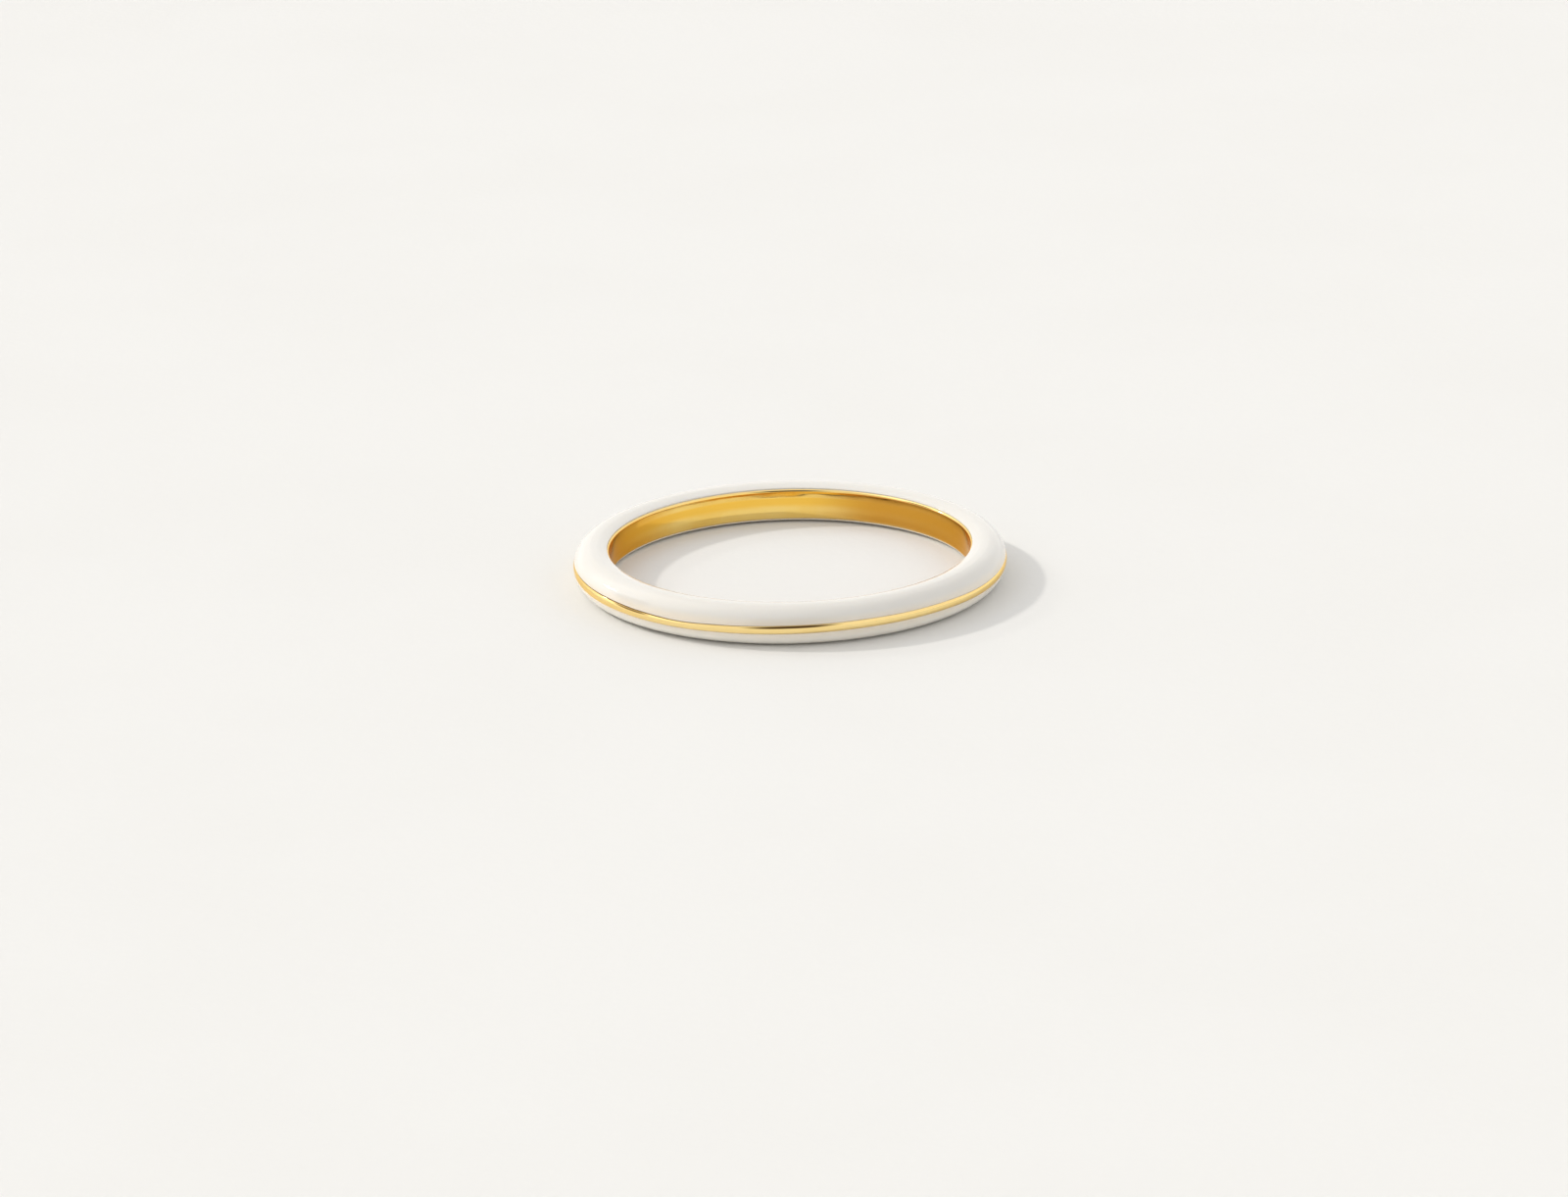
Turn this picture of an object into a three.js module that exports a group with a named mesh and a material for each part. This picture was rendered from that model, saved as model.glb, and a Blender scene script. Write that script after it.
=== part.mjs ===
// A slim stacking ring: a round gold band with white enamel let in above and below the gold line that
// runs round its middle. Millimetres, +Z up. The ring lies on its side, as it does on a table: the
// finger hole runs along Z, and the origin is the middle of the ring on the plane that it rests on.
import * as THREE from "three";

// Driving dimensions of the band.
const fingerHoleDiameter = 17.3; // between the inner walls
const bandThickness = 1.8; // from the inner wall out to the gold line
const sectionRadius = 0.975; // round outer side of the band's section, and half its height at the crest
const restFlatWidth = 0.3; // flat along the crest of each side, which the ring lies on

// The gold line round the middle.
const lineHeight = 0.4;
const lineProud = 0.02; // how far the line stands out of the enamel
const lineChamfer = 0.04; // broken edge along the line

// The rims that hold the enamel at the finger hole.
const rimWidth = 0.08; // from the inner wall to the enamel
const rimHeight = 0.787; // where the rim meets the enamel, above the band's middle plane
const rimEdgeRadius = 0.16; // rounding between the inner wall and the rim
const rimTaper = 0.12; // how much wider the rim is at its foot

// The enamel and the channels that it fills.
const enamelDepth = 0.36; // from the enamel's surface to the channel's floor
const enamelGap = 0.02; // clearance between the enamel and the metal

// Facets: the ring turns in equal steps, and each curve of the section takes a few.
const ringSteps = 96;
const outerCurveSteps = 6;
const innerCurveSteps = 3;
const floorOuterSteps = 3;
const floorInnerSteps = 2;
const rimEdgeSteps = 4;

// Places that follow from the sizes above. Heights are measured from the band's middle plane.
const holeRadius = fingerHoleDiameter / 2;
const lineRadius = holeRadius + bandThickness;
const sectionCentre = lineRadius - lineProud - sectionRadius;
const rimRadius = holeRadius + rimWidth;
const rimFootRadius = rimRadius + rimTaper;
const halfLine = lineHeight / 2;
const crestAngle = Math.PI / 2;

// The section is a circle outside its crest, and an ellipse of the same height inside it. The ellipse
// reaches in as far as makes it pass through the rim.
const innerReach = (sectionCentre - rimRadius) / Math.sqrt(1 - (rimHeight / sectionRadius) ** 2);
const surface = { outerReach: sectionRadius, innerReach, crest: sectionRadius };

// The same curve moved inwards along each of its half axes.
function movedIn(curve, distance) {
  return {
    outerReach: curve.outerReach - distance,
    innerReach: curve.innerReach - distance,
    crest: curve.crest - distance,
  };
}

const channelFloor = movedIn(surface, enamelDepth);
const enamelBack = movedIn(surface, enamelDepth - enamelGap);

// The crest is cut flat, lower by what makes the flat as wide as it should be.
const flatOuterHalf = restFlatWidth / (1 + surface.innerReach / surface.outerReach);
const flatHeight = surface.crest * Math.sqrt(1 - (flatOuterHalf / surface.outerReach) ** 2);

// Angle along a curve: 0 faces outwards, and a right angle is the crest.
function angleAtHeight(curve, height) {
  return Math.asin(height / curve.crest);
}

function angleAtRadius(curve, fromAxis) {
  return Math.acos((fromAxis - sectionCentre) / curve.innerReach);
}

// Points of a section curve between two angles, both ends included.
function along(curve, fromAngle, toAngle, steps) {
  const points = [];
  for (let step = 0; step <= steps; step++) {
    const angle = fromAngle + ((toAngle - fromAngle) * step) / steps;
    const reach = Math.cos(angle) > 0 ? curve.outerReach : curve.innerReach;
    points.push(new THREE.Vector2(sectionCentre + reach * Math.cos(angle), curve.crest * Math.sin(angle)));
  }
  return points;
}

// The rounding from the rim down to the inner wall.
function rimEdge() {
  const fromAngle = Math.acos((rimWidth - rimEdgeRadius) / rimEdgeRadius);
  const centreX = holeRadius + rimEdgeRadius;
  const centreY = rimHeight - rimEdgeRadius * Math.sin(fromAngle);
  const points = [];
  for (let step = 0; step <= rimEdgeSteps; step++) {
    const angle = fromAngle + ((Math.PI - fromAngle) * step) / rimEdgeSteps;
    points.push(
      new THREE.Vector2(centreX + rimEdgeRadius * Math.cos(angle), centreY + rimEdgeRadius * Math.sin(angle)),
    );
  }
  return points;
}

// The upper half of the gold section, from the gold line up, over the channel's floor and in to the wall.
function upperGoldHalf() {
  return [
    new THREE.Vector2(lineRadius, halfLine - lineChamfer),
    new THREE.Vector2(lineRadius - lineChamfer, halfLine),
    ...along(channelFloor, angleAtHeight(channelFloor, halfLine), crestAngle, floorOuterSteps),
    ...along(channelFloor, crestAngle, angleAtRadius(channelFloor, rimFootRadius), floorInnerSteps).slice(1),
    ...rimEdge(),
  ];
}

// The enamel above the gold line: its outer curve, the flat, its inner curve, then the side in the channel.
function upperEnamelSection() {
  const lowHeight = halfLine + enamelGap;
  const flatAngle = angleAtHeight(surface, flatHeight);
  return [
    ...along(surface, angleAtHeight(surface, lowHeight), flatAngle, outerCurveSteps),
    ...along(surface, Math.PI - flatAngle, angleAtRadius(surface, rimRadius + enamelGap), innerCurveSteps),
    ...along(enamelBack, angleAtRadius(enamelBack, rimFootRadius + enamelGap), crestAngle, floorInnerSteps),
    ...along(enamelBack, crestAngle, angleAtHeight(enamelBack, lowHeight), floorOuterSteps).slice(1),
  ];
}

// The same points on the other side of the middle plane, in the order that keeps the outline turning one way.
function mirrored(points) {
  return points.map((point) => new THREE.Vector2(point.x, -point.y)).reverse();
}

// A closed section turned round the ring's axis and stood on the plane that the ring rests on.
function turned(section) {
  const geometry = new THREE.LatheGeometry([...section, section[0]], ringSteps);
  geometry.rotateX(Math.PI / 2);
  geometry.translate(0, 0, flatHeight);
  return geometry;
}

function part(name, section, material) {
  const mesh = new THREE.Mesh(turned(section), material);
  mesh.name = name;
  return mesh;
}

const gold = new THREE.MeshStandardMaterial({ color: 0xe3b36a, roughness: 0.2, metalness: 1 });
const enamel = new THREE.MeshStandardMaterial({ color: 0xf2ece2, roughness: 0.15, metalness: 0 });

const goldHalf = upperGoldHalf();
const enamelHalf = upperEnamelSection();

const ring = new THREE.Group();
ring.add(
  part("gold_band", [...goldHalf, ...mirrored(goldHalf)], gold),
  part("upper_enamel", enamelHalf, enamel),
  part("lower_enamel", mirrored(enamelHalf), enamel),
);

export default ring;
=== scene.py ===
from math import acos, asin, atan, atan2, cos, degrees, pi, radians, sin, sqrt, tan

import bpy
from mathutils import Matrix, Vector


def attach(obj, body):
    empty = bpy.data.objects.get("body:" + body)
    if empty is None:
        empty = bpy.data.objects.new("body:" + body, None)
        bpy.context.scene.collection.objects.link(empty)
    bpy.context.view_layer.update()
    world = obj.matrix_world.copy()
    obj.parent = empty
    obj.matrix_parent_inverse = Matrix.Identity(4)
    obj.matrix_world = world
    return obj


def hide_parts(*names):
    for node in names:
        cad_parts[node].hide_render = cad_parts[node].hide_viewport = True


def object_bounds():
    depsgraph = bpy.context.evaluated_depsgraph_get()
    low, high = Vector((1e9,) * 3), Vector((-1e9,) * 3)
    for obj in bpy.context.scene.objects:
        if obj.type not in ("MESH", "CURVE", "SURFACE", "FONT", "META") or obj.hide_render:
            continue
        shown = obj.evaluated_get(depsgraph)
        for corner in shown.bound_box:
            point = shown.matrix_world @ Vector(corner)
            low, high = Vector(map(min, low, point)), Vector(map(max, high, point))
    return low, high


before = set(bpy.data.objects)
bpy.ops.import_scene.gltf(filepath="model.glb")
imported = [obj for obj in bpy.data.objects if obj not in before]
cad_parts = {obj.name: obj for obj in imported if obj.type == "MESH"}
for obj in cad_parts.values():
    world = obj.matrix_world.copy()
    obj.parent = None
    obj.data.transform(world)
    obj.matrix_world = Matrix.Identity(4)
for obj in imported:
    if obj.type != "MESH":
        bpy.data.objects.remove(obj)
cadLow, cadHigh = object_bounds()
mm = 0.001  # Blender works in metres, and the sizes below are in millimetres

ringMiddle = (cadLow.z + cadHigh.z) / 2 / mm  # height of the plane through the gold line
lineRadius = cadHigh.x / mm


# Sections are drawn point by point, then turned round the ring's axis.

turning = {
    "steps": 384,  # round the ring
    "mergeDistance": 0.002,
    "smoothAngle": 32,  # degrees, edges sharper than this stay crisp
}


def startSection(name, point):
    # a small plane is merged to the one vertex that the outline is drawn from
    bpy.ops.object.select_all(action="DESELECT")
    bpy.ops.mesh.primitive_plane_add(size=mm, location=(0, 0, 0))
    piece = bpy.context.object
    piece.name = name
    piece.data.name = name
    bpy.ops.object.mode_set(mode="EDIT")
    bpy.ops.mesh.select_mode(type="VERT")
    bpy.ops.mesh.select_all(action="SELECT")
    bpy.ops.mesh.merge(type="CENTER")
    bpy.ops.transform.translate(value=(point[0] * mm, 0, (ringMiddle + point[1]) * mm))
    return piece


def drawSection(name, points):
    # points are (from the axis, above the middle plane); each is a vertex extruded from the one before
    piece = startSection(name, points[0])
    here = points[0]
    for there in points[1:] + points[:1]:
        step = ((there[0] - here[0]) * mm, 0, (there[1] - here[1]) * mm)
        bpy.ops.mesh.extrude_vertices_move(TRANSFORM_OT_translate={"value": step})
        here = there
    bpy.ops.mesh.select_all(action="SELECT")
    bpy.ops.mesh.remove_doubles(threshold=turning["mergeDistance"] * mm)
    return piece


def turnSection(piece):
    bpy.ops.mesh.select_all(action="SELECT")
    bpy.ops.mesh.spin(steps=turning["steps"], angle=2 * pi, center=(0, 0, 0), axis=(0, 0, 1))
    bpy.ops.mesh.select_all(action="SELECT")
    bpy.ops.mesh.remove_doubles(threshold=turning["mergeDistance"] * mm)
    bpy.ops.mesh.normals_make_consistent(inside=False)
    bpy.ops.object.mode_set(mode="OBJECT")
    bpy.ops.object.transform_apply(location=True, rotation=True, scale=True)


def mirrored(points):
    return [(x, -z) for x, z in reversed(points)]


# The form that the gold and the enamel share.

ringForm = {
    "holeRadius": 8.65,
    "sectionRadius": 0.975,
    "lineProud": 0.02,  # the gold line stands this far out of the enamel
    "lineInset": 0.002,  # and its face stays this far inside the part's box
    "lineHeight": 0.4,
    "rimWidth": 0.08,  # where the outline of the part's section meets the rim
    "rimHeight": 0.787,
    "restHalf": (0.133, 0.167),  # flat of the crest, outwards and inwards of its top
    "channelDepth": 0.36,
    "rimFoot": 0.2,  # from the wall to the channel at its floor
    "seam": 0.004,  # between enamel and metal
}

sectionCentre = lineRadius - ringForm["lineProud"] - ringForm["sectionRadius"]
rimRadius = ringForm["holeRadius"] + ringForm["rimWidth"]
rimShare = ringForm["rimHeight"] / ringForm["sectionRadius"]
innerReach = (sectionCentre - rimRadius) / sqrt(1 - rimShare ** 2)
halfLine = ringForm["lineHeight"] / 2


def surfaceAngleAtHeight(height, depth=0):
    return asin(height / (ringForm["sectionRadius"] - depth))


def surfaceAngleAtRadius(radius, depth=0):
    return acos((radius - sectionCentre) / (innerReach - depth))


def surfaceCurve(fromAngle, toAngle, steps, depth=0):
    # a circle outside the crest and an ellipse of the same height inside it
    crest = ringForm["sectionRadius"] - depth
    points = []
    for step in range(steps + 1):
        angle = fromAngle + (toAngle - fromAngle) * step / steps
        reach = crest if cos(angle) > 0 else innerReach - depth
        points.append((sectionCentre + reach * cos(angle), crest * sin(angle)))
    return points


# The gold band: the line round its outside, the channels' floors, the rims and the inner wall.

goldForm = {
    # height above the middle, and how many degrees the line's face and the inner wall face up there
    "lineTurn": [(0, 0), (0.06, 2), (0.085, 14), (0.185, 29)],
    "lineSteps": 26,
    "wallTurn": [(0, 0), (0.32, 0.6), (0.36, 6.8), (0.64, 7.3), (0.665, 14), (0.7, 22)],
    "wallSteps": 60,
    "lineEdge": 0.03,  # radius of the line's rounded edge
    "rimEdge": 0.1,  # and of the rim's rounded top
    "edgeEnd": 84,  # degrees, where the rounding ends
    "edgeSteps": 7,
    "floorSteps": 10,
    "handDepth": 0.007,  # how far the polisher's hand left the wall uneven
    "handSize": 2.6,
    "handReach": 0.55,  # from the middle of the inner wall
    "handFade": 0.3,
}


def turnAt(rows, height):
    for low, high in zip(rows, rows[1:]):
        if height <= high[0]:
            return radians(low[1] + (high[1] - low[1]) * (height - low[0]) / (high[0] - low[0]))
    return radians(rows[-1][1])


def climb(radius, rows, steps, edge, outwards):
    # from the middle up a face to its top, and over the rounded edge there
    height = 0
    points = [(radius, height)]
    top, topTurn = rows[-1]
    rise = top / steps
    for _ in range(steps):
        radius += outwards * rise * tan(turnAt(rows, height + rise / 2))
        height += rise
        points.append((radius, height))
    start = radians(topTurn)
    for step in range(1, goldForm["edgeSteps"] + 1):
        turn = start + (radians(goldForm["edgeEnd"]) - start) * step / goldForm["edgeSteps"]
        across = outwards * edge * (cos(start) - cos(turn))
        points.append((radius + across, height + edge * (sin(turn) - sin(start))))
    return points


faceRadius = lineRadius - ringForm["lineInset"]
upperLine = climb(
    faceRadius, goldForm["lineTurn"], goldForm["lineSteps"], goldForm["lineEdge"], outwards=-1
)
upperWall = climb(
    ringForm["holeRadius"], goldForm["wallTurn"], goldForm["wallSteps"], goldForm["rimEdge"], outwards=1
)
enamelRadius = upperWall[-1][0]  # the enamel's edge at the finger hole


def buildGold():
    depth = ringForm["channelDepth"]
    footRadius = ringForm["holeRadius"] + ringForm["rimFoot"]
    floorStart = surfaceAngleAtHeight(halfLine, depth)
    floorEnd = surfaceAngleAtRadius(footRadius, depth)
    floor = surfaceCurve(floorStart, floorEnd, goldForm["floorSteps"], depth)
    half = upperLine + floor + upperWall[::-1]
    # the halves share the middle of the line and the middle of the wall
    piece = drawSection("gold_band_fine", half + mirrored(half)[1:-1])
    turnSection(piece)
    return piece


# The enamel, above and below the gold line.

enamelForm = {
    "crownSteps": 34,  # over the outside and the crest
    "innerSteps": 22,  # from the crest to the finger hole
    "backSteps": 10,
    "edge": 0.02,  # rounded where it meets the gold line
    "rimEdge": 0.035,  # and where it meets the rim
    "edgeSteps": 4,
    "unevenDepth": 0.012,  # the fired surface is a little uneven
    "unevenSize": 3.2,
    "evenAtEdges": 0.3,  # but even again at its edges and at the flat that it rests on
    "evenAtCrest": 0.04,
    "openFrom": 0.9,  # 0 is the section's middle and 1 its outline; less than this is in the channel
}


def edgeAtLine(end, lowHeight):
    # a quarter turn from the side in the channel up to the start of the open surface
    reach = enamelForm["edge"]
    points = []
    for step in range(enamelForm["edgeSteps"]):
        angle = pi / 2 * step / enamelForm["edgeSteps"]
        points.append((end[0] - reach * (1 - sin(angle)), lowHeight + reach * (1 - cos(angle))))
    return points


def edgeAtRim(end):
    # from the end of the open surface, round and down into the channel
    reach = enamelForm["rimEdge"]
    points = []
    for step in range(1, enamelForm["edgeSteps"] + 1):
        angle = pi / 2 * step / enamelForm["edgeSteps"]
        points.append((end[0] - reach * sin(angle), end[1] - reach * (1 - cos(angle))))
    return points


def buildEnamel(name, below):
    seam = ringForm["seam"]
    depth = ringForm["channelDepth"] - seam
    footRadius = ringForm["holeRadius"] + ringForm["rimFoot"] + seam
    lowHeight = halfLine + seam
    restOut = acos(ringForm["restHalf"][0] / ringForm["sectionRadius"])
    restIn = acos(-ringForm["restHalf"][1] / innerReach)
    crownStart = surfaceAngleAtHeight(lowHeight + enamelForm["edge"])
    crown = surfaceCurve(crownStart, restOut, enamelForm["crownSteps"])
    innerEnd = surfaceAngleAtRadius(enamelRadius + seam + enamelForm["rimEdge"])
    inner = surfaceCurve(restIn, innerEnd, enamelForm["innerSteps"])
    backStart = surfaceAngleAtRadius(footRadius, depth)
    backEnd = surfaceAngleAtHeight(lowHeight, depth)
    back = surfaceCurve(backStart, backEnd, enamelForm["backSteps"], depth)
    half = edgeAtLine(crown[0], lowHeight) + crown + inner + edgeAtRim(inner[-1]) + back
    piece = drawSection(name, mirrored(half) if below else half)
    turnSection(piece)
    return piece


# What the hand left: a gold line that wanders, and surfaces that aren't quite even.

lineWander = {
    # azimuth from the front, shift of the line's upper edge, shift of its lower edge, and how far the
    # upper enamel stands off the line
    "table": [
        (-180, 0.02, -0.01, 0.0),
        (-130, -0.02, 0.01, 0.01),
        (-95, 0.0, 0.0, 0.03),
        (-80, 0.0, 0.0, 0.05),
        (-58, -0.05, -0.02, 0.055),
        (-40, -0.13, -0.04, 0.05),
        (-31, -0.19, -0.04, 0.035),
        (-20, -0.12, -0.03, 0.02),
        (0, -0.02, -0.02, 0.01),
        (20, 0.02, 0.02, 0.005),
        (40, 0.01, 0.03, 0.0),
        (62, -0.06, 0.0, 0.0),
        (100, 0.0, 0.0, 0.0),
        (140, -0.02, 0.01, 0.0),
        (180, 0.02, -0.01, 0.0),
    ],
    "across": 13,
    "layers": 7,
    "cageReach": 2.1,  # of the ring's outer radius
    # how much of the upper and of the lower shift a layer takes, counted from the middle one
    "shares": {0: (0.5, 0.5), 1: (1, 0), -1: (0, 1), 2: (0.4, 0), -2: (0, 0.4)},
}


def wanderAt(azimuth, column):
    rows = lineWander["table"]
    for low, high in zip(rows, rows[1:]):
        if low[0] <= azimuth <= high[0]:
            share = (azimuth - low[0]) / (high[0] - low[0])
            share = share * share * (3 - 2 * share)
            return low[column] + (high[column] - low[column]) * share
    return 0


def addWanderCage(opens):
    bpy.ops.object.select_all(action="DESELECT")
    bpy.ops.object.add(type="LATTICE", location=(0, 0, ringMiddle * mm))
    cage = bpy.context.object
    cage.name = "lineCage"
    across = lineWander["cageReach"] * lineRadius
    size = Vector((across, across, 2 * ringMiddle)) * mm
    cage.scale = size
    data = cage.data
    data.points_u = data.points_v = lineWander["across"]
    data.points_w = lineWander["layers"]
    data.interpolation_type_u = data.interpolation_type_v = data.interpolation_type_w = "KEY_CATMULL_ROM"
    middleLayer = lineWander["layers"] // 2
    for index, point in enumerate(data.points):
        layer = index // (lineWander["across"] ** 2) - middleLayer
        upper, lower = lineWander["shares"].get(layer, (0, 0))
        azimuth = degrees(atan2(point.co.x, -point.co.y))
        shift = upper * wanderAt(azimuth, 1) + lower * wanderAt(azimuth, 2)
        if opens:
            shift += upper * wanderAt(azimuth, 3)
        point.co_deform.z += shift * mm / size.z
    bpy.context.view_layer.update()
    return cage


def choose(piece):
    bpy.ops.object.select_all(action="DESELECT")
    bpy.context.view_layer.objects.active = piece
    piece.select_set(True)


def followCage(piece, cage):
    choose(piece)
    modifier = piece.modifiers.new("wander", "LATTICE")
    modifier.object = cage
    bpy.ops.object.modifier_apply(modifier=modifier.name)


def makeUneven(piece, name, depth, size, belongs):
    # only sinks the surface, so that the ring keeps its size
    group = piece.vertex_groups.new(name=name)
    for vertex in piece.data.vertices:
        radius = Vector((vertex.co.x, vertex.co.y)).length / mm
        weight = belongs(radius, vertex.co.z / mm - ringMiddle)
        if weight > 0:
            group.add([vertex.index], weight, "REPLACE")
    texture = bpy.data.textures.new(name, "CLOUDS")
    texture.noise_scale = size * mm
    texture.noise_depth = 1
    modifier = piece.modifiers.new(name, "DISPLACE")
    modifier.texture = texture
    modifier.texture_coords = "LOCAL"
    modifier.direction = "NORMAL"
    modifier.mid_level = 1
    modifier.strength = depth * mm
    modifier.vertex_group = group.name
    bpy.context.view_layer.objects.active = piece
    bpy.ops.object.modifier_apply(modifier=modifier.name)
    piece.vertex_groups.clear()
    bpy.data.textures.remove(texture)


def enamelWeight(radius, height):
    # full over the open surface, and nothing at the seams, the flat and the side in the channel
    reach = ringForm["sectionRadius"] if radius > sectionCentre else innerReach
    outwards = ((radius - sectionCentre) / reach) ** 2 + (height / ringForm["sectionRadius"]) ** 2
    if outwards < enamelForm["openFrom"]:
        return 0
    fromLine = (abs(height) - halfLine) / enamelForm["evenAtEdges"]
    fromRim = (radius - enamelRadius) / enamelForm["evenAtEdges"]
    fromCrest = (ringMiddle - abs(height)) / enamelForm["evenAtCrest"]
    return max(0, min(1, fromLine, fromRim, fromCrest))


def goldWeight(radius, height):
    # the inner wall, away from its rims
    if radius > rimRadius:
        return 0
    return max(0, min(1, (goldForm["handReach"] - abs(height)) / goldForm["handFade"]))


# The three pieces are built here.

gold = buildGold()
print("gold band turned:", len(gold.data.polygons), "faces")
upperEnamel = buildEnamel("upper_enamel_fine", below=False)
lowerEnamel = buildEnamel("lower_enamel_fine", below=True)
print("enamel turned:", len(upperEnamel.data.polygons), "faces each")

makeUneven(gold, "hand", goldForm["handDepth"], goldForm["handSize"], goldWeight)
for enamel in (upperEnamel, lowerEnamel):
    makeUneven(enamel, "fired", enamelForm["unevenDepth"], enamelForm["unevenSize"], enamelWeight)

for opens, pieces in ((False, (gold, lowerEnamel)), (True, (upperEnamel,))):
    cage = addWanderCage(opens)
    for piece in pieces:
        followCage(piece, cage)
    bpy.data.objects.remove(cage)

for piece in (gold, upperEnamel, lowerEnamel):
    choose(piece)
    bpy.ops.object.shade_smooth_by_angle(angle=radians(turning["smoothAngle"]))
print("surfaces finished")


# Nodes that the finishes share.


def feed(tree, socket, value):
    # an input takes what another node gives, or a plain value
    if isinstance(value, bpy.types.NodeSocket):
        tree.links.new(value, socket)
    else:
        socket.default_value = value


def addNode(tree, kind, settings=None, **inputs):
    # an input is named, or given by its number as i0, i1 and so on
    node = tree.nodes.new(kind)
    for name, value in (settings or {}).items():
        setattr(node, name, value)
    for name, value in inputs.items():
        numbered = name[0] == "i" and name[1:].isdigit()
        feed(tree, node.inputs[int(name[1:]) if numbered else name], value)
    return node


def calculate(tree, operation, *values):
    inputs = {f"i{index}": value for index, value in enumerate(values)}
    return addNode(tree, "ShaderNodeMath", {"operation": operation}, **inputs).outputs[0]


def remap(tree, value, low, high, newLow, newHigh):
    node = addNode(
        tree, "ShaderNodeMapRange", {"interpolation_type": "SMOOTHSTEP"},
        i0=value, i1=low, i2=high, i3=newLow, i4=newHigh,
    )
    return node.outputs[0]


def blendColours(tree, share, first, second):
    node = addNode(tree, "ShaderNodeMix", {"data_type": "RGBA"}, i0=share)
    feed(tree, node.inputs[6], first)
    feed(tree, node.inputs[7], second)
    return node.outputs[2]


def radiusOf(tree, parts):
    # the distance from the ring's axis
    flat = addNode(tree, "ShaderNodeCombineXYZ", i0=parts.outputs[0], i1=parts.outputs[1]).outputs[0]
    return addNode(tree, "ShaderNodeVectorMath", {"operation": "LENGTH"}, i0=flat).outputs[1]


def newGroup(name, inputs, outputs):
    group = bpy.data.node_groups.new(name, "ShaderNodeTree")
    for label, kind, value in inputs:
        socket = group.interface.new_socket(name=label, in_out="INPUT", socket_type=kind)
        if value is not None:
            socket.default_value = value
    for label, kind in outputs:
        group.interface.new_socket(name=label, in_out="OUTPUT", socket_type=kind)
    start = group.nodes.new("NodeGroupInput")
    end = group.nodes.new("NodeGroupOutput")
    return group, start, end


polishing = {
    "ringRadius": 9.5,  # where the length of a line is measured
    "lineDetail": 1.5,
    "patchScale": 0.7,
    "patchDetail": 3.0,
    "noiseRoughness": 0.5,
    "spread": (0.12, 0.42),  # values of lines times patches between which a finish gets rougher
}


def makePolishingLines():
    # fine lines that run round the ring, as a polishing wheel leaves them
    group, start, end = newGroup(
        "polishingLines",
        [
            ("Place", "NodeSocketVector", None),
            ("Fineness", "NodeSocketFloat", 12.0),  # lines per millimetre
            ("Length", "NodeSocketFloat", 1.5),  # millimetres
        ],
        [("Lines", "NodeSocketFloat"), ("Patches", "NodeSocketFloat")],
    )
    parts = addNode(group, "ShaderNodeSeparateXYZ", i0=start.outputs["Place"])
    turn = calculate(group, "ARCTAN2", parts.outputs[1], parts.outputs[0])
    around = calculate(group, "MULTIPLY", turn, polishing["ringRadius"])
    around = calculate(group, "DIVIDE", around, start.outputs["Length"])
    acrossWall = calculate(group, "MULTIPLY", parts.outputs[2], start.outputs["Fineness"])
    acrossRim = calculate(group, "MULTIPLY", radiusOf(group, parts), start.outputs["Fineness"])
    stretched = addNode(group, "ShaderNodeCombineXYZ", i0=around, i1=acrossRim, i2=acrossWall).outputs[0]
    lines = addNode(
        group, "ShaderNodeTexNoise", Vector=stretched, Scale=1.0,
        Detail=polishing["lineDetail"], Roughness=polishing["noiseRoughness"],
    )
    patches = addNode(
        group, "ShaderNodeTexNoise", Vector=start.outputs["Place"], Scale=polishing["patchScale"],
        Detail=polishing["patchDetail"], Roughness=polishing["noiseRoughness"],
    )
    group.links.new(lines.outputs["Fac"], end.inputs["Lines"])
    group.links.new(patches.outputs["Fac"], end.inputs["Patches"])
    return group


drifting = {
    "detail": 5.0,
    "noiseRoughness": 0.55,
    "between": (0.35, 0.68),  # noise values between which one tone gives way to the other
}


def makeToneDrift():
    # two tones that drift into each other over the surface
    group, start, end = newGroup(
        "toneDrift",
        [
            ("Place", "NodeSocketVector", None),
            ("Tone", "NodeSocketColor", (1, 1, 1, 1)),
            ("Other Tone", "NodeSocketColor", (1, 1, 1, 1)),
            ("Scale", "NodeSocketFloat", 1.0),
            ("Amount", "NodeSocketFloat", 0.5),
        ],
        [("Colour", "NodeSocketColor")],
    )
    noise = addNode(
        group, "ShaderNodeTexNoise", Vector=start.outputs["Place"], Scale=start.outputs["Scale"],
        Detail=drifting["detail"], Roughness=drifting["noiseRoughness"],
    )
    low, high = drifting["between"]
    share = remap(group, noise.outputs["Fac"], low, high, 0.0, 1.0)
    share = calculate(group, "MULTIPLY", share, start.outputs["Amount"])
    colour = blendColours(group, share, start.outputs["Tone"], start.outputs["Other Tone"])
    group.links.new(colour, end.inputs["Colour"])
    return group


def makeSpecks():
    # sparse small marks, such as pinholes in the glaze
    group, start, end = newGroup(
        "specks",
        [
            ("Place", "NodeSocketVector", None),
            ("Scale", "NodeSocketFloat", 2.0),
            ("Size", "NodeSocketFloat", 0.08),
            ("Share", "NodeSocketFloat", 0.2),
        ],
        [("Mask", "NodeSocketFloat")],
    )
    cells = addNode(
        group, "ShaderNodeTexVoronoi", Vector=start.outputs["Place"], Scale=start.outputs["Scale"]
    )
    near = calculate(group, "LESS_THAN", cells.outputs["Distance"], start.outputs["Size"])
    chosen = addNode(group, "ShaderNodeSeparateColor", i0=cells.outputs["Color"])
    few = calculate(group, "LESS_THAN", chosen.outputs[0], start.outputs["Share"])
    group.links.new(calculate(group, "MULTIPLY", near, few), end.inputs["Mask"])
    return group


polishingLines = makePolishingLines()
toneDrift = makeToneDrift()
specks = makeSpecks()


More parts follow.
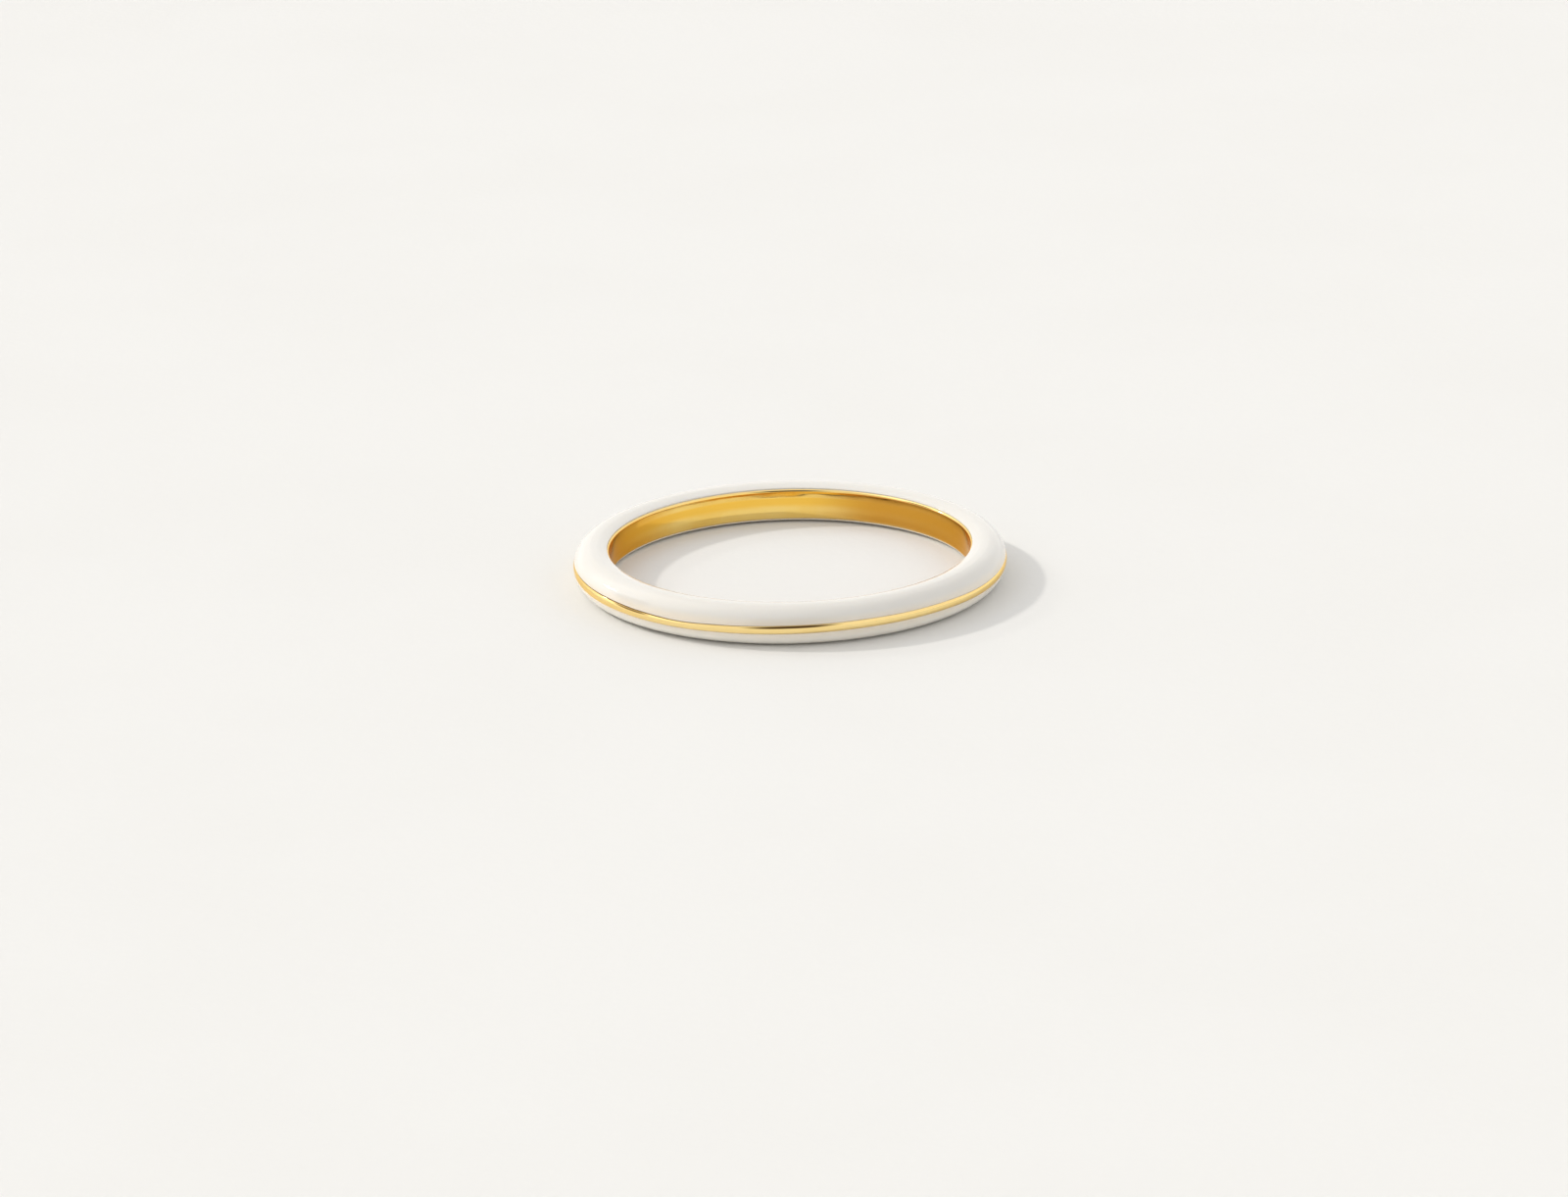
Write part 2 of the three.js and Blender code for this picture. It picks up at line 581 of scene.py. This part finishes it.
def placeGroup(tree, group, **inputs):
    node = tree.nodes.new("ShaderNodeGroup")
    node.node_tree = group
    for name, value in inputs.items():
        feed(tree, node.inputs[name.replace("_", " ")], value)
    return node


def driftingTone(tree, place, finish):
    drift = placeGroup(
        tree, toneDrift, Place=place, Tone=finish["tone"], Other_Tone=finish["otherTone"],
        Scale=finish["toneScale"], Amount=finish["toneAmount"],
    )
    return drift.outputs["Colour"]


def startMaterial(name):
    # a material with its shader, and the place on the piece in millimetres from the ring's middle
    material = bpy.data.materials.new(name)
    material.use_nodes = True
    tree = material.node_tree
    shader = tree.nodes["Principled BSDF"]
    coordinates = addNode(tree, "ShaderNodeTexCoord")
    mapping = addNode(
        tree, "ShaderNodeMapping", {"vector_type": "TEXTURE"},
        Vector=coordinates.outputs["Object"], Location=(0, 0, ringMiddle * mm), Scale=(mm, mm, mm),
    )
    return material, tree, shader, mapping.outputs["Vector"]


def roughenByLines(tree, shader, lines, smooth, rough):
    low, high = polishing["spread"]
    spread = calculate(tree, "MULTIPLY", lines.outputs["Lines"], lines.outputs["Patches"])
    tree.links.new(remap(tree, spread, low, high, smooth, rough), shader.inputs["Roughness"])


def addBump(tree, height, depth, normal=None):
    node = addNode(tree, "ShaderNodeBump", Height=height, Distance=depth * mm, Strength=1.0)
    if normal is not None:
        tree.links.new(normal, node.inputs["Normal"])
    return node.outputs["Normal"]


# Polished gold.

goldFinish = {
    "tone": (0.98, 0.755, 0.335, 1),
    "otherTone": (0.96, 0.7, 0.27, 1),
    "rubbedTone": (1.0, 0.8, 0.42, 1),  # where edges are rubbed bright
    "rubbedAtLine": 0.06,  # on each side of the line's edge
    "rubbedAtRim": 0.7,  # from this height above the middle
    "insidePaintedReflectionTone": (1.0, 0.74, 0.24, 1),  # the inside is deeper, a painted reflection of gold mirrored in gold
    "insidePaintedReflectionOtherTone": (0.96, 0.65, 0.16, 1),
    "insideReach": (0.03, 0.075),  # outwards from the inner wall
    "paintedReflectionBandTone": (0.95, 0.57, 0.08, 1),  # and a painted reflection of deeper gold in a band above its middle
    "paintedReflectionBandReach": (-0.22, 0.1, 0.3, 0.42),
    "paintedReflectionBandShare": 0.9,
    "leftPaintedReflectionTone": (0.86, 0.44, 0.05, 1),  # and deepest towards its two sides, a painted reflection and shade of deep gold
    "leftPaintedReflectionReach": (-8.4, -5.0, 0.95),  # from, to, and how much
    "rightPaintedReflectionTone": (0.64, 0.31, 0.04, 1),
    "rightPaintedReflectionReach": (0.3, 4.6, 0.9),
    "toneScale": 0.35,
    "toneAmount": 0.6,
    "grazingTint": (1.0, 0.82, 0.55, 1),
    "roughness": (0.035, 0.1),
    "linesPerMm": 14.0,
    "lineLength": 2.4,
    "lineDepth": 0.00014,
    "swellDepth": 0.009,
    "swellScale": 0.55,
    "swellDetail": 1.0,
}


def makeGold():
    material, tree, shader, place = startMaterial("polished_gold")
    outerTone = driftingTone(tree, place, goldFinish)
    lines = placeGroup(
        tree, polishingLines, Place=place, Fineness=goldFinish["linesPerMm"], Length=goldFinish["lineLength"]
    )
    # the inner wall's tones are painted reflection: deeper gold, as if mirrored in more gold
    insidePaintedReflectionDrift = placeGroup(
        tree, toneDrift, Place=place, Tone=goldFinish["insidePaintedReflectionTone"], Other_Tone=goldFinish["insidePaintedReflectionOtherTone"],
        Scale=goldFinish["toneScale"], Amount=1.0,
    )
    parts = addNode(tree, "ShaderNodeSeparateXYZ", i0=place)
    insideFrom, insideTo = (ringForm["holeRadius"] + reach for reach in goldFinish["insideReach"])
    inside = remap(tree, radiusOf(tree, parts), insideFrom, insideTo, 1.0, 0.0)
    # painted reflection and shade: the inner wall turns deeper gold towards its left and right sides
    leftFrom, leftTo, leftShare = goldFinish["leftPaintedReflectionReach"]
    left = remap(tree, parts.outputs[0], leftFrom, leftTo, leftShare, 0.0)
    rightFrom, rightTo, rightShare = goldFinish["rightPaintedReflectionReach"]
    right = remap(tree, parts.outputs[0], rightFrom, rightTo, 0.0, rightShare)
    # painted reflection: a band of deeper gold above the inner wall's middle
    bandFoot, bandLow, bandHigh, bandTop = goldFinish["paintedReflectionBandReach"]
    aboveFoot = remap(tree, parts.outputs[2], bandFoot, bandLow, 0.0, goldFinish["paintedReflectionBandShare"])
    belowTop = remap(tree, parts.outputs[2], bandHigh, bandTop, 1.0, 0.0)
    paintedReflectionBand = calculate(tree, "MULTIPLY", aboveFoot, belowTop)
    insidePaintedReflectionTone = blendColours(tree, paintedReflectionBand, insidePaintedReflectionDrift.outputs["Colour"], goldFinish["paintedReflectionBandTone"])
    insidePaintedReflectionTone = blendColours(tree, left, insidePaintedReflectionTone, goldFinish["leftPaintedReflectionTone"])
    insidePaintedReflectionTone = blendColours(tree, right, insidePaintedReflectionTone, goldFinish["rightPaintedReflectionTone"])
    tone = blendColours(tree, inside, outerTone, insidePaintedReflectionTone)
    # the edges of the line and the rims are rubbed brighter
    height = calculate(tree, "ABSOLUTE", parts.outputs[2])
    fromLineEdge = calculate(tree, "ABSOLUTE", calculate(tree, "SUBTRACT", height, halfLine))
    nearLineEdge = remap(tree, fromLineEdge, 0.0, goldFinish["rubbedAtLine"], 1.0, 0.0)
    nearLineEdge = calculate(tree, "MULTIPLY", nearLineEdge, calculate(tree, "SUBTRACT", 1.0, inside))
    nearRim = remap(tree, height, goldFinish["rubbedAtRim"], ringForm["rimHeight"], 0.0, 1.0)
    nearEdge = calculate(tree, "MAXIMUM", nearLineEdge, nearRim)
    rubbed = calculate(tree, "MULTIPLY", nearEdge, lines.outputs["Patches"])
    colour = blendColours(tree, rubbed, tone, goldFinish["rubbedTone"])
    tree.links.new(colour, shader.inputs["Base Color"])
    roughenByLines(tree, shader, lines, *goldFinish["roughness"])
    swell = addNode(
        tree, "ShaderNodeTexNoise", Vector=place, Scale=goldFinish["swellScale"],
        Detail=goldFinish["swellDetail"],
    )
    normal = addBump(tree, swell.outputs["Fac"], goldFinish["swellDepth"])
    normal = addBump(tree, lines.outputs["Lines"], goldFinish["lineDepth"], normal)
    tree.links.new(normal, shader.inputs["Normal"])
    shader.inputs["Metallic"].default_value = 1.0
    shader.inputs["Specular Tint"].default_value = goldFinish["grazingTint"]
    return material


# White enamel.

enamelFinish = {
    "tone": (0.76, 0.74, 0.7, 1),
    "otherTone": (0.74, 0.717, 0.67, 1),
    "lowerPaintedLightTone": (0.94, 0.9, 0.82, 1),  # the lower ring of enamel is a little lighter, painted light as if bounced up from below
    "lowerPaintedLightFade": 0.15,  # above and below the middle, behind the gold line
    "toneScale": 0.22,
    "toneAmount": 0.55,
    "roughness": (0.1, 0.2),
    "linesPerMm": 6.0,
    "lineLength": 4.0,
    "peelScale": 1.6,
    "peelDetail": 2.0,
    "peelDepth": 0.0018,
    "pinholes": (1.4, 0.035, 0.12),  # how close together, how large, and how many of them are there
    "pinholeDepth": 0.01,
    "seamPaintedBounceTone": (0.84, 0.74, 0.6, 1),  # painted warm light bounced from the gold, where the glaze meets the metal
    "seamPaintedBounceReach": 0.4,
    "seamPaintedBounceShare": 0.75,
    "glow": 0.25,  # light goes a little way into the glaze
    "glowDepth": 0.35,
    "glowRadius": (1.0, 0.9, 0.75),
    "refraction": 1.52,
    "coat": 0.4,
    "coatRoughness": 0.05,
}


def makeEnamel():
    material, tree, shader, place = startMaterial("white_enamel")
    lines = placeGroup(
        tree, polishingLines, Place=place,
        Fineness=enamelFinish["linesPerMm"], Length=enamelFinish["lineLength"],
    )
    closeness, size, share = enamelFinish["pinholes"]
    pinholes = placeGroup(tree, specks, Place=place, Scale=closeness, Size=size, Share=share)
    parts = addNode(tree, "ShaderNodeSeparateXYZ", i0=place)
    height = calculate(tree, "ABSOLUTE", parts.outputs[2])
    # painted warm bounce light from the gold line, fading away from it
    seamEnd = halfLine + enamelFinish["seamPaintedBounceReach"]
    paintedBounceNearSeam = remap(tree, height, halfLine, seamEnd, enamelFinish["seamPaintedBounceShare"], 0.0)
    # painted light: the lower enamel is made lighter, as if lit by light bounced from below
    low = remap(tree, parts.outputs[2], -enamelFinish["lowerPaintedLightFade"], enamelFinish["lowerPaintedLightFade"], 1.0, 0.0)
    colour = blendColours(tree, low, driftingTone(tree, place, enamelFinish), enamelFinish["lowerPaintedLightTone"])
    colour = blendColours(tree, paintedBounceNearSeam, colour, enamelFinish["seamPaintedBounceTone"])
    tree.links.new(colour, shader.inputs["Base Color"])
    roughenByLines(tree, shader, lines, *enamelFinish["roughness"])
    peel = addNode(
        tree, "ShaderNodeTexNoise", Vector=place, Scale=enamelFinish["peelScale"],
        Detail=enamelFinish["peelDetail"],
    )
    normal = addBump(tree, peel.outputs["Fac"], enamelFinish["peelDepth"])
    holes = calculate(tree, "SUBTRACT", 1.0, pinholes.outputs["Mask"])
    normal = addBump(tree, holes, enamelFinish["pinholeDepth"], normal)
    tree.links.new(normal, shader.inputs["Normal"])
    shader.inputs["IOR"].default_value = enamelFinish["refraction"]
    shader.inputs["Subsurface Weight"].default_value = enamelFinish["glow"]
    shader.inputs["Subsurface Radius"].default_value = enamelFinish["glowRadius"]
    shader.inputs["Subsurface Scale"].default_value = enamelFinish["glowDepth"] * mm
    shader.inputs["Coat Weight"].default_value = enamelFinish["coat"]
    shader.inputs["Coat Roughness"].default_value = enamelFinish["coatRoughness"]
    return material


polishedGold = makeGold()
whiteEnamel = makeEnamel()
for piece, material in ((gold, polishedGold), (upperEnamel, whiteEnamel), (lowerEnamel, whiteEnamel)):
    piece.data.materials.clear()
    piece.data.materials.append(material)

for piece, node, slot in (
    (gold, "gold_band", "gold"),
    (upperEnamel, "upper_enamel", "white_enamel"),
    (lowerEnamel, "lower_enamel", "white_enamel"),
):
    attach(piece, "root")
    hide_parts(node)
print("finishes made")


# The table.

table = {
    "size": 1600.0,  # millimetres
    "tone": (0.77, 0.768, 0.758, 1),
    "otherTone": (0.754, 0.75, 0.737, 1),
    "toneScale": 0.05,
    "toneAmount": 0.5,
    "grainScale": 2.2,
    "grainDetail": 4.0,
    "grainDepth": 0.02,
    "roughness": 0.85,
    "gloss": 0.25,
}


def makeTable():
    bpy.ops.object.select_all(action="DESELECT")
    bpy.ops.mesh.primitive_plane_add(size=table["size"] * mm, location=(0, 0, 0))
    top = bpy.context.object
    top.name = "table_top"
    material, tree, shader, place = startMaterial("pale_table")
    tree.links.new(driftingTone(tree, place, table), shader.inputs["Base Color"])
    grain = addNode(
        tree, "ShaderNodeTexNoise", Vector=place, Scale=table["grainScale"], Detail=table["grainDetail"]
    )
    tree.links.new(addBump(tree, grain.outputs["Fac"], table["grainDepth"]), shader.inputs["Normal"])
    shader.inputs["Roughness"].default_value = table["roughness"]
    shader.inputs["Specular IOR Level"].default_value = table["gloss"]
    top.data.materials.append(material)


makeTable()


# Daylight.

daylight = {
    "sunAzimuth": -109,  # degrees, as the views count them: 0 is the camera's side and 90 the right
    "sunElevation": 36,
    "sunStrength": 1.2,
    "sunWidth": 4,
    "sunColour": (1.0, 0.955, 0.88),
    "skyEdge": (1.06, 1.04, 1.0, 1),  # just above the table's far edge, all round
    "skyLow": (0.95, 0.94, 0.92, 1),
    "skyHigh": (0.85, 0.85, 0.85, 1),
    "edgeToLow": (0.06, 0.22),  # sines of the elevations between which one tone gives way to the next
    "lowToHigh": (0.1, 0.8),
    # places in the sky: azimuth, elevation, and the degrees from there where it starts and stops to fade
    "window": (-110, 38, 18, 40),
    "windowTone": (1.5, 1.47, 1.42, 1),
    "glint": (-121, 26, 0.8, 2.2),  # the brightest part of the window, which glints on the gold
    "glintTone": (80, 76, 70, 1),
    "room": (-1, 25, 11, 28),  # the darker room behind the camera
    "roomTone": (0.08, 0.055, 0.04, 1),
    "curtain": (-95, 22, 6, 15),  # a dark edge below the window
    "curtainTone": (0.22, 0.17, 0.12, 1),
    "strength": 1.04,
}


def towards(azimuth, elevation):
    turn, rise = radians(azimuth), radians(elevation)
    return Vector((sin(turn) * cos(rise), -cos(turn) * cos(rise), sin(rise)))


def makeSun():
    bpy.ops.object.light_add(type="SUN", location=(0, 0, 0))
    sun = bpy.context.object
    sun.name = "sun"
    shining = -towards(daylight["sunAzimuth"], daylight["sunElevation"])
    sun.rotation_euler = shining.to_track_quat("-Z", "Y").to_euler()
    sun.data.energy = daylight["sunStrength"]
    sun.data.angle = radians(daylight["sunWidth"])
    sun.data.color = daylight["sunColour"]
    sun.visible_glossy = False  # the window in the sky gives the glints


def facing(tree, direction, azimuth, elevation, inner, outer):
    # 1 within inner degrees of that direction, falling to 0 at outer
    there = tuple(towards(azimuth, elevation))
    near = addNode(tree, "ShaderNodeVectorMath", {"operation": "DOT_PRODUCT"}, i0=direction, i1=there)
    return remap(tree, near.outputs[1], cos(radians(outer)), cos(radians(inner)), 0.0, 1.0)


def makeSky():
    world = bpy.data.worlds.new("studio")
    bpy.context.scene.world = world
    world.use_nodes = True
    tree = world.node_tree
    background = tree.nodes["Background"]
    direction = addNode(tree, "ShaderNodeTexCoord").outputs["Generated"]
    height = addNode(tree, "ShaderNodeSeparateXYZ", i0=direction).outputs[2]
    share = remap(tree, height, *daylight["lowToHigh"], 0.0, 1.0)
    sky = blendColours(tree, share, daylight["skyLow"], daylight["skyHigh"])
    share = remap(tree, height, *daylight["edgeToLow"], 0.0, 1.0)
    sky = blendColours(tree, share, daylight["skyEdge"], sky)
    for name in ("window", "glint", "room", "curtain"):
        share = facing(tree, direction, *daylight[name])
        sky = blendColours(tree, share, sky, daylight[name + "Tone"])
    tree.links.new(sky, background.inputs["Color"])
    background.inputs["Strength"].default_value = daylight["strength"]


makeSun()
makeSky()
bpy.context.scene.view_settings.view_transform = "Standard"
print("light set")


# The camera.

cameraPlace = {
    "distance": 288.3,  # from the ring's middle
    "elevation": 18.3,
    "roll": 1.3,  # the right side stands a little higher
    "lens": 137.3,
    "sensor": 36.0,
    "right": 7.0,  # pixels of the 1600 x 1221 frame from its middle to the ring's
    "above": 39.7,
    "frameWidth": 1600,
    "nearest": 5,  # millimetres that it sees from, and to
    "farthest": 5000,
}


def makeCamera():
    middle = Vector((0, 0, ringMiddle * mm))
    back = towards(0, cameraPlace["elevation"])
    bpy.ops.object.camera_add(location=middle + back * cameraPlace["distance"] * mm)
    camera = bpy.context.object
    camera.name = "camera"
    camera.data.lens = cameraPlace["lens"]
    camera.data.sensor_width = cameraPlace["sensor"]
    focal = cameraPlace["lens"] / cameraPlace["sensor"] * cameraPlace["frameWidth"]
    look = (-back).to_track_quat("-Z", "Y").to_matrix()
    roll = Matrix.Rotation(-radians(cameraPlace["roll"]), 3, "Z")
    turnLeft = Matrix.Rotation(atan(cameraPlace["right"] / focal), 3, "Y")
    turnDown = Matrix.Rotation(-atan(cameraPlace["above"] / focal), 3, "X")
    camera.rotation_euler = (look @ turnLeft @ turnDown @ roll).to_euler()
    camera.data.clip_start = cameraPlace["nearest"] * mm
    camera.data.clip_end = cameraPlace["farthest"] * mm
    bpy.context.scene.camera = camera


makeCamera()
print("camera set")
